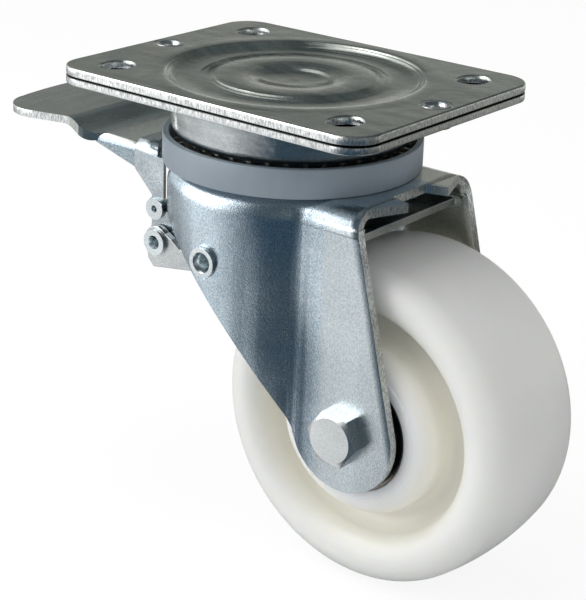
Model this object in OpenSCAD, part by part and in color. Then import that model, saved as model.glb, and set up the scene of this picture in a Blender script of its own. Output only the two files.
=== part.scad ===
// Swivel castor with a one-piece nylon wheel and a toe-operated brake that also locks the swivel.
// The origin is the centre of the mounting plate's top face, on the swivel axis.
// +X points to the trailing wheel, Y lies along the axle and +Z points up into the load.

/* [Mounting plate] */
// Length of the plate along the rolling direction
plate_l = 140; // [136:1:160]
// Width of the plate across the rolling direction
plate_w = 110; // [106:1:130]
// Thickness of the top plate
plate_t = 3.5; // [3:0.1:4.5]
// Thickness of the plate that the bowl is drawn from
bowl_t = 3; // [2.5:0.1:3.4]
// Corner radius of both plates
plate_corner = 12; // [6:0.5:16]
// Bolt spacing along the rolling direction
bolt_x = 105; // [103:0.5:108]
// Mean bolt spacing across the rolling direction
bolt_y = 77.5; // [76:0.5:86]
// Width of a bolt slot
slot_w = 11; // [9:0.5:12]
// How far a bolt can shift along its slot
slot_play = 2.5; // [1:0.5:4]
// Distance of the joining eyelets from the swivel axis
eyelet_x = 62.3; // [60:0.1:63]

/* [Swivel head] */
// Depth of the fork's crown below the plate's top face
crown_drop = 33.2; // [32.5:0.1:36]
// Radius of the bowl where it leaves its plate
bowl_r = 47.5; // [46.5:0.5:49]
// Diameter of the swivel balls
ball_d = 6.35; // [5.8:0.05:6.6]
// Pitch radius of the upper ball race
upper_race_r = 30; // [28:0.5:31]
// Pitch radius of the lower ball race
lower_race_r = 16.5; // [16:0.1:17.5]
// Diameter of the kingpin
kingpin_d = 14; // [12:0.5:15]
// Number of fins on the swivel lock ring
fin_count = 36; // [32:2:40]
// Outer radius of the dust ring
dust_r = 48.5; // [48:0.1:50]

/* [Fork] */
// Thickness of the fork's sheet
fork_t = 3.3; // [3:0.1:4]
// Outer radius of the round head
head_r = 46.6; // [46.2:0.1:48]
// Distance between the outer faces of the two legs
leg_span = 70.2; // [69.5:0.1:73]
// Distance of the axle behind the swivel axis
axle_offset = 53.5; // [50:0.5:57]
// Depth of the axle below the plate's top face
axle_drop = 117.2; // [116:0.2:124]
// Radius of the rounded leg end
leg_end_r = 22.3; // [20:0.1:24]

/* [Wheel] */
// Diameter of the wheel over its tread
wheel_d = 127; // [124:0.5:128]
// Width of the tread
wheel_w = 55; // [51:0.5:57]
// Length of the hub
hub_w = 58.2; // [56:0.2:59]
// Thread diameter of the axle bolt
axle_d = 12; // [10:0.5:14]

/* [Brake] */
// Half width of the toe pedal's wing
wing_half = 38.5; // [36:0.5:44]
// Reach of the pedal from the swivel axis
wing_reach = 120; // [114:1:126]
// Thickness of the brake's pressed sheets
brake_t = 3; // [2.6:0.1:3.2]
// Gap between the tread and the brake plate when the brake is off
shoe_gap = 8.5; // [8.3:0.1:9.5]

/* [Hidden] */
$fn = 96;

// Fits: play of a shaft in a bore, room between bodies, and a cut's overshoot
slip = 0.02;
room = 0.4;
over = 1;

// Levels of the swivel head, all measured down from the plate's top face
bowl_top_z = -plate_t;
bowl_plate_z = bowl_top_z - bowl_t;
crown_z = -crown_drop;
crown_under_z = crown_z - fork_t;
race_gap = 0.63 * ball_d;
race_play = 0.06;
bowl_floor_z = crown_z + race_gap;
lower_race_z = crown_under_z - race_gap;
lower_race_t = 4;
lower_race_edge = lower_race_r + ball_d / 2 + 2.4;

// Eyelets that join the plates
eyelet_r = 4.4;
eyelet_bore_r = 3.2;
eyelet_flange = 1.2;
eyelet_foot = 1.4;

// Pressed centre of the top plate: rim, groove, inner disc and dimple
dish_r = 48;
dish_profile = [[dish_r, 0], [44, -2], [31.5, -2], [30, -1.2], [18, -1.2], [13, -2.6], [0, -3]];

// Bowl: nearly upright wall, a round bend, and an upright seat for the lock ring
bowl_seat_r = 36.5;
bowl_seat_z = bowl_floor_z + 4.2;
bowl_bend_r = 6.5;
bowl_bend = [bowl_r - 8.6, bowl_floor_z + 11.3];
bowl_mouth = 1.5;

// Lock ring and dust ring
fin_t = 1.6;
fin_tip_r = 45;
fin_root_r = 38;
fin_low_z = bowl_floor_z - 1;
fin_tip_z = fin_low_z + 2.8;
fin_high_z = bowl_seat_z - 1;
lock_base_z = fin_low_z - 0.4;
lock_base_h = bowl_seat_z - room - lock_base_z;
dust_wall = 2.5;
dust_h = 11;
dust_flange_t = 1.2;
dust_flange_r = 34.8;

// Kingpin
kingpin_r = kingpin_d / 2;
sleeve_r = kingpin_r + 3;
kingpin_af = 22;
kingpin_head = 9;
kingpin_nut_h = 7;

// Fork: bends, the blend from the round head into the flat legs, and the side outline
crown_bend = 9;
blend_r = 10;
blend_bite = 0.06;
blend_y = leg_span / 2 + blend_r - blend_bite;
blend_x = sqrt(pow(head_r + blend_r - blend_bite, 2) - pow(blend_y, 2));
axle = [axle_offset, -axle_drop];
leg_in = leg_span / 2 - fork_t;
trail_top = [57, crown_z - 6];
lip_half = 12.4;
lip_x = 61.8;
lip_root = [55.7, 28];
notch_half = 10.2;
notch_x = 53.5;
lead_a = 222;
lead_end = axle + (leg_end_r - 0.2) * [cos(lead_a), sin(lead_a)];
leg_foot = (axle + lead_end) / 2;
lead_start = [-15.3, crown_z - 29.2];
lead_bow = 4.5;
lead_chord = lead_end - lead_start;
lead_dir = lead_chord / norm(lead_chord);
lead_normal = [-lead_dir[1], lead_dir[0]];
lead_r = pow(norm(lead_chord) / 2, 2) / (2 * lead_bow) + lead_bow / 2;
lead_centre = (lead_start + lead_end) / 2 - (lead_r - lead_bow) * lead_normal;
front_r = 45;
front_centre = lead_start - (front_r - blend_bite) * (lead_start - lead_centre) / lead_r;
skirt_z = front_centre[1] + front_r;

// Wheel profile, across the axle
wheel_r = wheel_d / 2;
bead_r = 9;
bead_y = wheel_w / 2 - bead_r;
tread_drop = 1.3;
tread_arc_r = (pow(bead_y, 2) + pow(tread_drop, 2)) / (2 * tread_drop);
bead_in_r = wheel_r - tread_arc_r + sqrt(pow(tread_arc_r - bead_r, 2) - pow(bead_y, 2));
groove_r = 5;
groove_in_r = bead_in_r - bead_r - groove_r;
groove_y = bead_y - 0.5;
web_r = 20.5;
hub_round_r = 7;
hub_round_in_r = groove_in_r - groove_r - hub_round_r;
hub_round_y = hub_w / 2 - hub_round_r - 0.4;
hub_side_r = hub_round_in_r + hub_round_r - blend_bite;
bearing_d = 47;
bearing_bore = 20;
bearing_w = 14;
bearing_y = hub_w / 2 - bearing_w;
bearing_ball_d = 7.94;
bearing_pitch_r = 16.75;
bearing_inner_r = bearing_pitch_r - 2.4;
bearing_outer_r = bearing_pitch_r + 2.4;
seal_t = 1;
seal_r = bearing_outer_r + 1.4;
seal_sink = 0.2;

// Axle
axle_r = axle_d / 2;
bolt_af = 19;
bolt_head = 6.4;
bolt_face_r = bolt_af / 2 - 0.9;
nut_h = 10;
washer_t = 2.5;
washer_r = 12;
tube_bore_r = axle_r + 0.2;
tube_r = bearing_bore / 2 - slip;
spacer_wall = 3.6;

// Brake pivots in the side view, as [x, z]
brake_axis = [-2.4, crown_z - 29];
pedal_axis = [-37.8, crown_z - 33.5];
rivet_axis = [-41, crown_z - 21.8];
cam_axis = pedal_axis + [11, 2];
pin_r = 4;
pin_bore_r = 2.7;
pin_head_r = 5.6;
pin_seat_y = head_r - 0.9;
pin_proud = 1.6;
spacer_r = pin_r + 2;
spacer_end = sqrt(pow(head_r - fork_t, 2) - pow(spacer_r - brake_axis[0], 2));
cam_r = 3;
cam_tenon = cam_r - 0.8;
rivet_r = 2.4;
rivet_head = 1.2;

// Bracket: heel and toe of its foot, and its tab under the crown
bracket_heel = pedal_axis + [-1.5, -10.5];
bracket_toe = pedal_axis + [19, -7.2];
bracket_back_x = brake_axis[0] + 7;
bracket_front_x = brake_axis[0] - 12;
lobe_r = 6;
ear_r = 7;

// Layers of the brake, counted as half widths across the castor
bracket_half = 33.5;
hub_half = bracket_half - brake_t - 0.3;
neck_half = hub_half - brake_t;
shoe_half = leg_in - 3.8;
tail_half = 20;
ear_x = -14;

// Pedal: level neck under a raised wing
neck_z = crown_z + 0.2;
neck_x = -74.5;
wing_x = -84.5;
wing_rise = 6;
wing_lean = 1.1;
wing_edge_r = 166;
wing_corner = 14;
corner_y = wing_half - wing_corner;
corner_x = wing_edge_r - wing_reach - sqrt(pow(wing_edge_r - wing_corner, 2) - pow(corner_y, 2));
wing_taper = 14.7;
flare_x = -70;
flare_l = 11;
hub_x = -52;
hub_in_x = -38;
ring_room_r = dust_r + 2;
skirt_room_r = head_r + 1.4;

// Brake plate: a shell round the tread, and a tail over the cam
shoe_r = wheel_r + shoe_gap;
shoe_end_a = 89;
shoe_start_a = 125;
tail_z = cam_axis[1] + cam_r + 0.3;
tail_x = -44;

// Lock pawl
pawl_x = -40;
pawl_t = 3.4;
pawl_tooth_w = 3.4;
slot_over = 6;
pawl_pitch = -pawl_x * tan(360 / fin_count);
pawl_half = pawl_pitch + pawl_tooth_w / 2 + 0.3;
pawl_tooth_h = 6.2;
pawl_tip_z = fin_low_z - 0.5;

// Return spring
wire_r = 0.8;
coil_r = 6.5;
coil_turns = 4;
spring_leg = 16;
coil_y = shoe_half - 11;
coil_pitch = 1.8;
coil_x = brake_axis[0] - coil_r - wire_r - room;
wire_sides = 8;
coil_steps = 18;

// Extrudes a side view, drawn as [x, z], evenly to both sides of the middle plane
module across(width) rotate([90, 0, 0]) linear_extrude(width, center = true) children();

// Extrudes a side view between two distances from the middle plane, on both sides
module on_both_sides(inner, outer)
    for (s = [-1, 1])
        translate([0, s * (inner + outer) / 2, 0]) across(outer - inner) children();

// Cylinder along Y between two stations
module rod(at, r, y0, y1)
    translate([at[0], y1, at[1]]) rotate([90, 0, 0]) cylinder(r = r, h = y1 - y0);

// Rod on both sides of the middle plane
module rods(at, r, inner, outer) {
    rod(at, r, inner, outer);
    rod(at, r, -outer, -inner);
}

// Plate with rounded corners, its top face at z
module plate_blank(z, t) translate([0, 0, z - t]) linear_extrude(t) {
    square([plate_l, plate_w - 2 * plate_corner], center = true);
    square([plate_l - 2 * plate_corner, plate_w], center = true);
    for (x = [-1, 1], y = [-1, 1])
        translate([x * (plate_l / 2 - plate_corner), y * (plate_w / 2 - plate_corner)])
            circle(plate_corner);
}

// Bolt slots and eyelet holes through both plates
module plate_holes() {
    for (x = [-1, 1], y = [-1, 1])
        translate([x * bolt_x / 2, y * bolt_y / 2, bowl_plate_z - over])
            linear_extrude(plate_t + bowl_t + 2 * over) {
                square([slot_w, slot_play], center = true);
                for (s = [-1, 1]) translate([0, s * slot_play / 2]) circle(d = slot_w);
            }
    for (x = [-1, 1]) translate([x * eyelet_x, 0, bowl_plate_z - over]) {
        cylinder(r = eyelet_r + slip, h = plate_t + bowl_t + 2 * over);
        translate([0, 0, plate_t + bowl_t + over - eyelet_flange])
            cylinder(r1 = eyelet_r + slip, r2 = eyelet_r + slip + 2 * eyelet_flange, h = 2 * eyelet_flange);
    }
}

// Volume between the dished centre and a level above or below it
module dish_volume(shift, level) rotate_extrude()
    polygon(concat([[0, level], [dish_r, level]], [for (p = dish_profile) p + [0, shift]]));

module top_plate() color("#9a9d97") difference() {
    union() {
        plate_blank(0, plate_t);
        dish_volume(-plate_t, -plate_t / 2);
    }
    dish_volume(0, over);
    plate_holes();
}

// Point where a line from p touches a circle, on the side that s picks
function touch(p, centre, r, s) = let (d = p - centre, a = atan2(d[1], d[0]) + s * acos(r / norm(d)))
    centre + r * [cos(a), sin(a)];

// Section of the bowl's outer skin or, inset by the sheet's thickness, of its hollow
module bowl_section(inset, top) {
    mouth = [bowl_r - inset, bowl_plate_z];
    seat = [bowl_seat_r - inset, bowl_seat_z + inset / 4];
    bend = bowl_bend_r - inset;
    polygon([[0, top], [mouth[0], top], mouth, touch(mouth, bowl_bend, bend - blend_bite, -1), bowl_bend,
        touch(seat, bowl_bend, bend - blend_bite, 1), seat, [seat[0], bowl_floor_z + inset],
        [0, bowl_floor_z + inset]]);
    translate(bowl_bend) circle(bend);
}

module bowl_plate() color("#b9bcba") difference() {
    union() {
        plate_blank(bowl_top_z, bowl_t);
        rotate_extrude() bowl_section(0, bowl_plate_z + bowl_t / 2);
    }
    rotate_extrude() bowl_section(bowl_t, over);
    translate([0, 0, bowl_plate_z])
        cylinder(r1 = bowl_r - bowl_t, r2 = bowl_r + bowl_mouth, h = bowl_t);
    plate_holes();
    race_groove(upper_race_r, (bowl_floor_z + crown_z) / 2);
    translate([0, 0, bowl_floor_z - over]) cylinder(r = kingpin_r + slip, h = bowl_t + 2 * over);
}

// Ball groove of a race
module race_groove(r, z) rotate_extrude() translate([r, z]) circle(ball_d / 2 + race_play);

// Hollow rivets that hold the two plates together, flush with the top face
module plate_eyelets() color("#c4c6c4") for (x = [-1, 1]) translate([x * eyelet_x, 0, 0]) difference() {
    union() {
        translate([0, 0, bowl_plate_z - eyelet_flange])
            cylinder(r = eyelet_r, h = -bowl_plate_z + eyelet_flange);
        translate([0, 0, -eyelet_flange])
            cylinder(r1 = eyelet_r, r2 = eyelet_r + eyelet_flange, h = eyelet_flange);
        translate([0, 0, bowl_plate_z - eyelet_flange])
            cylinder(r = eyelet_r + eyelet_foot, h = eyelet_flange);
    }
    translate([0, 0, bowl_plate_z - 2 * over]) cylinder(r = eyelet_bore_r, h = plate_t + bowl_t + 4 * over);
    translate([0, 0, -eyelet_flange])
        cylinder(r1 = eyelet_bore_r, r2 = eyelet_bore_r + 2, h = 2 * eyelet_flange);
}

module hexagon(af) circle(d = af / cos(30), $fn = 6);

module kingpin() color("#a8aaa8") {
    translate([0, 0, bowl_floor_z + bowl_t]) linear_extrude(kingpin_head) hexagon(kingpin_af);
    translate([0, 0, lower_race_z - lower_race_t - kingpin_nut_h - 1.5])
        cylinder(r = kingpin_r, h = bowl_floor_z + bowl_t - lower_race_z + lower_race_t + kingpin_nut_h + 2);
}

// Tube that keeps the two races apart when the kingpin is tightened
module kingpin_sleeve() color("#8f9290") translate([0, 0, lower_race_z]) difference() {
    cylinder(r = sleeve_r, h = bowl_floor_z - lower_race_z);
    translate([0, 0, -over]) cylinder(r = kingpin_r + slip, h = bowl_floor_z - lower_race_z + 2 * over);
}

module lower_race() color("#8f9290") difference() {
    translate([0, 0, lower_race_z - lower_race_t]) cylinder(r = lower_race_edge, h = lower_race_t);
    translate([0, 0, lower_race_z - lower_race_t - over])
        cylinder(r = kingpin_r + slip, h = lower_race_t + 2 * over);
    race_groove(lower_race_r, (crown_under_z + lower_race_z) / 2);
}

module kingpin_nut() color("#c4c6c4")
    translate([0, 0, lower_race_z - lower_race_t - kingpin_nut_h]) difference() {
    linear_extrude(kingpin_nut_h) hexagon(kingpin_af);
    translate([0, 0, -over]) cylinder(r = kingpin_r + slip, h = kingpin_nut_h + 2 * over);
}

// Ring of radial fins pressed onto the bowl's seat; the pawl rises between two fins
module lock_ring() color("#b0a890") difference() {
    union() {
        translate([0, 0, lock_base_z]) cylinder(r = fin_root_r, h = lock_base_h);
        for (i = [0 : fin_count - 1]) rotate([0, 0, (i + 0.5) * 360 / fin_count]) across(fin_t)
            polygon([[fin_root_r - 0.6, fin_low_z], [fin_tip_r, fin_low_z], [fin_tip_r, fin_tip_z],
                [fin_root_r - 0.6, fin_high_z]]);
    }
    translate([0, 0, lock_base_z - over]) cylinder(r = bowl_seat_r + slip, h = lock_base_h + 2 * over);
}

// Balls of a swivel race
module ball_row(r, z) {
    count = floor(360 / (2 * asin((ball_d + 0.7) / (2 * r))));
    for (i = [0 : count - 1]) rotate([0, 0, i * 360 / count]) translate([r, 0, z]) sphere(d = ball_d);
}

module upper_balls() color("#d8dadb") ball_row(upper_race_r, (bowl_floor_z + crown_z) / 2);

module lower_balls() color("#d8dadb") ball_row(lower_race_r, (crown_under_z + lower_race_z) / 2);

// Grey plastic ring that closes the swivel head; it rests on the crown and turns with the fork
module dust_ring() color("#93a0ab") difference() {
    rotate_extrude() {
        translate([dust_r - dust_wall, crown_z]) square([dust_wall, dust_h]);
        translate([dust_flange_r, crown_z]) square([dust_r - dust_wall / 2 - dust_flange_r, dust_flange_t]);
    }
    pawl_slot();
}

// Window that the pawl rises through
module pawl_slot() translate([pawl_x - pawl_t / 2 - room, -pawl_half - room, crown_under_z - slot_over])
    cube([pawl_t + 2 * room, 2 * (pawl_half + room), fork_t + dust_flange_t + 2 * slot_over]);

// Channel section with rounded top corners, drawn across the castor
module channel_section(width, top, bend, low) {
    translate([-width / 2, low]) square([width, top - bend - low]);
    translate([-width / 2 + bend, low]) square([width - 2 * bend, top - low]);
    for (s = [-1, 1]) translate([s * (width / 2 - bend), top - bend]) circle(bend);
}

// Bar of channel section along X
module channel(width, top, bend, low, x0, x1)
    translate([x0, 0, 0]) rotate([90, 0, 90]) linear_extrude(x1 - x0) channel_section(width, top, bend, low);

// Solid fork form, either its outer skin or, inset by one sheet thickness, its inner skin
module fork_form(inset) {
    top = crown_z - inset;
    low = -axle_drop - leg_end_r - 2;
    bend = crown_bend - inset;
    edge = blend_r + inset;
    turn = atan2(blend_y, -blend_x) - 90;
    rotate_extrude() intersection() {
        channel_section(2 * (head_r - inset), top, bend, low);
        translate([0, low]) square([head_r, top - low]);
    }
    channel(leg_span - 2 * inset, top, bend, low, 0, axle_offset + leg_end_r + 5);
    for (s = [0, 1]) mirror([0, s, 0])
        translate([blend_x, -blend_y, 0]) rotate([0, 0, 90])
            rotate_extrude(angle = turn) {
                translate([edge, low]) square([2 * bend, top - bend - low]);
                translate([edge + bend, low]) square([bend, top - low]);
                translate([edge + bend, top - bend]) circle(bend);
            }
}

// Side outline of the fork down to its rounded leg ends
module fork_side() difference() {
    polygon([[-head_r - 2, crown_z + over], [lip_x + 2, crown_z + over], [lip_x + 2, trail_top[1]],
        trail_top, touch(trail_top, axle, leg_end_r - blend_bite, -1), axle, leg_foot,
        [-head_r - 2, leg_foot[1]]]);
    intersection() {
        translate(lead_centre) circle(lead_r, $fn = 360);
        translate([lead_start[0], -axle_drop * 2]) square([axle_drop * 2, axle_drop * 2]);
    }
    translate(front_centre) circle(front_r);
    translate([-3 * head_r, -2 * axle_drop]) square([3 * head_r + front_centre[0], 2 * axle_drop + skirt_z]);
    translate([-3 * head_r, -2 * axle_drop])
        square([3 * head_r + lead_start[0], 2 * axle_drop + front_centre[1]]);
}

// Part of the crown behind its trailing edge: slanted lips and a notch between them
module crown_trim() translate([0, 0, trail_top[1]]) linear_extrude(-trail_top[1])
    polygon([[trail_top[0], -leg_span], [trail_top[0], -leg_span / 2], [lip_root[0], -lip_root[1]],
        [lip_x, -lip_half], [notch_x, -notch_half], [notch_x, notch_half], [lip_x, lip_half],
        [lip_root[0], lip_root[1]], [trail_top[0], leg_span / 2], [trail_top[0], leg_span],
        [2 * leg_span, leg_span], [2 * leg_span, -leg_span]]);

module fork() color("#c2cbd2") difference() {
    intersection() {
        difference() {
            fork_form(0);
            fork_form(fork_t);
        }
        union() {
            across(3 * head_r) fork_side();
            rod(axle, leg_end_r, -1.5 * head_r, 1.5 * head_r);
        }
    }
    crown_trim();
    race_groove(upper_race_r, (bowl_floor_z + crown_z) / 2);
    race_groove(lower_race_r, (crown_under_z + lower_race_z) / 2);
    translate([0, 0, crown_under_z - over]) cylinder(r = sleeve_r + room, h = fork_t + 2 * over);
    pawl_slot();
    rod(axle, axle_r + 0.2, -leg_span, leg_span);
    rod(brake_axis, pin_r + slip, -2 * head_r, 2 * head_r);
    rods(brake_axis, pin_head_r + 0.1, pin_seat_y, 2 * head_r);
}

// Hex bolt with a chamfered head on the near leg
module axle_bolt() color("#c9cdd0") {
    translate([axle[0], -leg_span / 2, axle[1]]) rotate([90, 0, 0]) intersection() {
        rotate([0, 0, -6]) linear_extrude(bolt_head) hexagon(bolt_af);
        cylinder(r1 = bolt_face_r + bolt_head * tan(60), r2 = bolt_face_r, h = bolt_head);
    }
    rod(axle, axle_r, -leg_span / 2 - over, leg_span / 2 + washer_t + nut_h + 2);
}

module axle_washer() color("#c9cdd0") difference() {
    rod(axle, washer_r, leg_span / 2, leg_span / 2 + washer_t);
    rod(axle, axle_r + 0.2, 0, leg_span);
}

module axle_nut() color("#c9cdd0") difference() {
    translate([axle[0], leg_span / 2 + washer_t + nut_h, axle[1]]) rotate([90, 0, 0])
        linear_extrude(nut_h) hexagon(bolt_af);
    rod(axle, axle_r + slip, 0, leg_span);
}

// Steel tube clamped between the legs; the bearings sit on it
module axle_tube() color("#8f9290") difference() {
    rod(axle, tube_r, -leg_in, leg_in);
    rod(axle, tube_bore_r, -leg_span, leg_span);
}

// Rings between the bearings and the legs
module bearing_spacers() color("#8f9290") difference() {
    rods(axle, tube_r + spacer_wall, hub_w / 2, leg_in);
    rod(axle, tube_r + slip, -leg_span, leg_span);
}

// Ring of a ball bearing on one side, s = -1 near and 1 far
module bearing_ring(s, r_in, r_out) difference() {
    rods_side(s, r_out, bearing_y, hub_w / 2);
    rods_side(s, r_in, bearing_y - over, hub_w / 2 + over);
    translate([axle[0], s * (bearing_y + bearing_w / 2), axle[1]]) rotate([90, 0, 0]) rotate_extrude()
        translate([bearing_pitch_r, 0]) circle(bearing_ball_d / 2 + race_play);
}

// Outer ring, with the recess that holds its shield
module bearing_outer(s) difference() {
    bearing_ring(s, bearing_outer_r, bearing_d / 2);
    rods_side(s, seal_r + slip, hub_w / 2 - seal_t - seal_sink, hub_w / 2 + over);
}

// Rod on one side of the middle plane
module rods_side(s, r, inner, outer) if (s > 0) rod(axle, r, inner, outer); else rod(axle, r, -outer, -inner);

module bearing_balls(s) for (i = [0 : 7])
    translate([axle[0], s * (bearing_y + bearing_w / 2), axle[1]]) rotate([0, i * 45, 0])
        translate([bearing_pitch_r, 0, 0]) sphere(d = bearing_ball_d);

// Thin dark shield held in the outer ring
module bearing_seal(s) color("#3a332c") difference() {
    rods_side(s, seal_r, hub_w / 2 - seal_t - seal_sink, hub_w / 2 - seal_sink);
    rods_side(s, bearing_inner_r + 0.3, 0, hub_w);
}

module near_bearing_inner() color("#b5b8ba") bearing_ring(-1, bearing_bore / 2, bearing_inner_r);
module far_bearing_inner() color("#b5b8ba") bearing_ring(1, bearing_bore / 2, bearing_inner_r);
module near_bearing_balls() color("#d8dadb") bearing_balls(-1);
module far_bearing_balls() color("#d8dadb") bearing_balls(1);
module near_bearing_outer() color("#6b645c") bearing_outer(-1);
module far_bearing_outer() color("#6b645c") bearing_outer(1);
module near_bearing_seal() bearing_seal(-1);
module far_bearing_seal() bearing_seal(1);

// Half section of the wheel for one side, drawn as [radius, distance along the axle]:
// hub with a rounded shoulder, round groove, and a round bead that runs into the tread
module wheel_half() intersection() {
    difference() {
        union() {
            polygon([[web_r, 0], [wheel_r, 0], [wheel_r, bead_y], [hub_side_r, bead_y],
                [hub_side_r, hub_round_y], [hub_round_in_r, hub_round_y], [hub_round_in_r, hub_w / 2],
                [web_r, hub_w / 2]]);
            translate([hub_round_in_r, hub_round_y]) circle(hub_round_r);
            translate([bead_in_r, bead_y]) circle(bead_r);
        }
        translate([groove_in_r, groove_y]) circle(groove_r + blend_bite);
        translate([0, bearing_y]) square([bearing_d / 2 + slip, hub_w]);
    }
    translate([wheel_r - tread_arc_r, 0]) circle(tread_arc_r + blend_bite, $fn = 360);
}

module wheel() color("#ecebe4") translate([axle[0], 0, axle[1]]) rotate([90, 0, 0]) rotate_extrude() {
    wheel_half();
    mirror([0, 1]) wheel_half();
}

// Side plate of the brake bracket: lobe for the pedal pivot, foot, and a tab up to the crown
module bracket_side() difference() {
    union() {
        translate(pedal_axis) circle(lobe_r);
        polygon([pedal_axis - [lobe_r, 0], pedal_axis + [-4.2, -7.6], bracket_heel, bracket_toe,
            [bracket_back_x, brake_axis[1] - 4], [bracket_back_x, crown_under_z],
            [bracket_front_x, crown_under_z], brake_axis + [-14, 1], pedal_axis + [12, -0.6],
            pedal_axis + [7.5, 2.6], pedal_axis + [4.2, 4.2]]);
    }
    for (p = [brake_axis, pedal_axis]) translate(p) circle(pin_r + slip);
}

module brake_bracket() color("#c9c8c2") {
    on_both_sides(bracket_half - brake_t, bracket_half) bracket_side();
    across(2 * bracket_half - brake_t)
        polygon([bracket_heel, bracket_toe, bracket_toe + [0, brake_t], bracket_heel + [0, brake_t]]);
}

// Hollow pin through both walls of the fork, its ends rolled over
module brake_pivot() color("#c4ccd0") difference() {
    union() {
        rod(brake_axis, pin_r, -head_r - pin_proud, head_r + pin_proud);
        rods(brake_axis, pin_head_r, pin_seat_y + slip, head_r + pin_proud);
    }
    rods(brake_axis, pin_bore_r, head_r - 12, head_r + 3);
    for (s = [-1, 1])
        translate([brake_axis[0], s * (head_r + pin_proud), brake_axis[1]]) rotate([s * 90, 0, 0])
            translate([0, 0, -over]) cylinder(r1 = pin_bore_r + 1 + 0.8, r2 = pin_bore_r, h = 2.2 + over);
}

// Tubes that hold the bracket in the middle of the fork
module pivot_spacers() color("#8f9290") difference() {
    rods(brake_axis, spacer_r, bracket_half, spacer_end);
    rod(brake_axis, pin_r + slip, -head_r, head_r);
}

// Hollow pin that the pedal turns on
module pedal_pivot() color("#c4ccd0") difference() {
    union() {
        rod(pedal_axis, pin_r, -bracket_half - pin_proud, bracket_half + pin_proud);
        rods(pedal_axis, pin_head_r - 0.6, bracket_half, bracket_half + pin_proud);
    }
    rods(pedal_axis, pin_bore_r, bracket_half - 8, bracket_half + 3);
}

// Points round the spring's wire at one place on its path
function wire_ring(p, d) = let (u = d / norm(d), v = cross(u, abs(u[1]) < 0.9 ? [0, 1, 0] : [1, 0, 0]),
    w = v / norm(v), q = cross(u, w)) [for (k = [0 : wire_sides - 1]) let (a = k * 360 / wire_sides)
        p + wire_r * (cos(a) * w + sin(a) * q)];

// Torsion spring on the brake pivot: one leg on the brake plate's tail, one under the crown
module return_spring() color("#a5a8a6") {
    centre = [brake_axis[0], coil_y, brake_axis[1]];
    turns = coil_turns - 0.25;
    coil = [for (i = [0 : coil_steps * turns]) let (a = 90 + i * 360 / coil_steps)
        centre + [coil_r * cos(a), i * coil_pitch / coil_steps, coil_r * sin(a)]];
    last = coil[len(coil) - 1];
    rest_leg = [brake_axis[0] - spring_leg, coil_y, tail_z + brake_t + wire_r + 0.3];
    path = concat([rest_leg], coil, [[last[0], last[1], crown_under_z - wire_r - 0.2]]);
    n = len(path);
    rings = [for (i = [0 : n - 1]) wire_ring(path[i], path[min(i + 1, n - 1)] - path[max(i - 1, 0)])];
    polyhedron(points = [for (r = rings) each r],
        faces = concat([[for (k = [0 : wire_sides - 1]) wire_sides - 1 - k]],
            [for (i = [0 : n - 2], k = [0 : wire_sides - 1]) let (m = (k + 1) % wire_sides)
                [i * wire_sides + k, i * wire_sides + m, (i + 1) * wire_sides + m, (i + 1) * wire_sides + k]],
            [[for (k = [0 : wire_sides - 1]) (n - 1) * wire_sides + k]]));
}

// Smooth step from 0 to 1
function ease(u) = let (c = min(max(u, 0), 1)) (1 - cos(180 * c)) / 2;

// Height of the pedal's top face along X
function wing_top(x) = neck_z + wing_rise * ease((neck_x - x) / (neck_x - wing_x));

// Space that the pedal keeps clear of, round the dust ring and the fork's head
module head_room() {
    translate([0, 0, crown_z - 1.5]) cylinder(r = ring_room_r, h = crown_drop);
    translate([0, 0, skirt_z - 4]) cylinder(r = skirt_room_r, h = crown_z - skirt_z + 4);
}

module pedal_wing() color("#8f928a") difference() {
    union() {
        intersection() {
            xs = [for (i = [0 : 12]) neck_x + i * (wing_x - neck_x) / 12];
            across(2 * wing_half + 2) polygon(concat([[hub_in_x, neck_z]], [for (x = xs) [x, wing_top(x)]],
                [[-wing_reach - over, neck_z + wing_rise],
                    [-wing_reach - over, neck_z + wing_rise - brake_t]],
                [for (i = [12 : -1 : 0]) [xs[i] - wing_lean, wing_top(xs[i]) - brake_t]],
                [[hub_in_x, neck_z - brake_t]]));
            translate([0, 0, neck_z - 2 * brake_t]) linear_extrude(wing_rise + 4 * brake_t) wing_plan();
        }
        intersection() {
            difference() {
                channel(2 * neck_half, neck_z, brake_t, 3 * crown_z, neck_x - 1, -30);
                channel(2 * (neck_half - brake_t), neck_z - brake_t, 0.5, 4 * crown_z, neck_x - 2, -29);
            }
            across(2 * wing_half) union() {
                polygon([[neck_x - 1, neck_z], [neck_x - 1, neck_z - 3.6], [-53, neck_z - 9.8],
                    rivet_axis + [-5, 4], rivet_axis, [-30, rivet_axis[1]], [-30, neck_z]]);
                translate(rivet_axis) circle(5);
            }
        }
    }
    head_room();
    rod(rivet_axis, rivet_r + slip, -wing_half, wing_half);
}

// Plan of the pedal: neck, flare, tapered wing, rounded corners and a slightly bowed outer edge
module wing_plan() {
    sheet = neck_half - brake_t;
    corner = [corner_x, corner_y] + (wing_corner - blend_bite) * [sin(wing_taper), cos(wing_taper)];
    root = corner[1] - (flare_x - flare_l - corner[0]) * tan(wing_taper);
    flare = [for (i = [0 : 8]) [flare_x - i * flare_l / 8, sheet + (root - sheet) * ease(i / 8)]];
    for (s = [0, 1]) mirror([0, s]) {
        polygon(concat([[hub_in_x, -over], [hub_in_x, sheet]], flare, [corner, [corner_x, corner_y],
            [corner_x, -over]]));
        translate([corner_x, corner_y]) circle(wing_corner);
    }
    intersection() {
        translate([wing_edge_r - wing_reach, 0]) circle(wing_edge_r, $fn = 360);
        translate([-wing_reach - over, -corner_y]) square([corner_x + wing_reach + 2 * over, 2 * corner_y]);
    }
}

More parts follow.
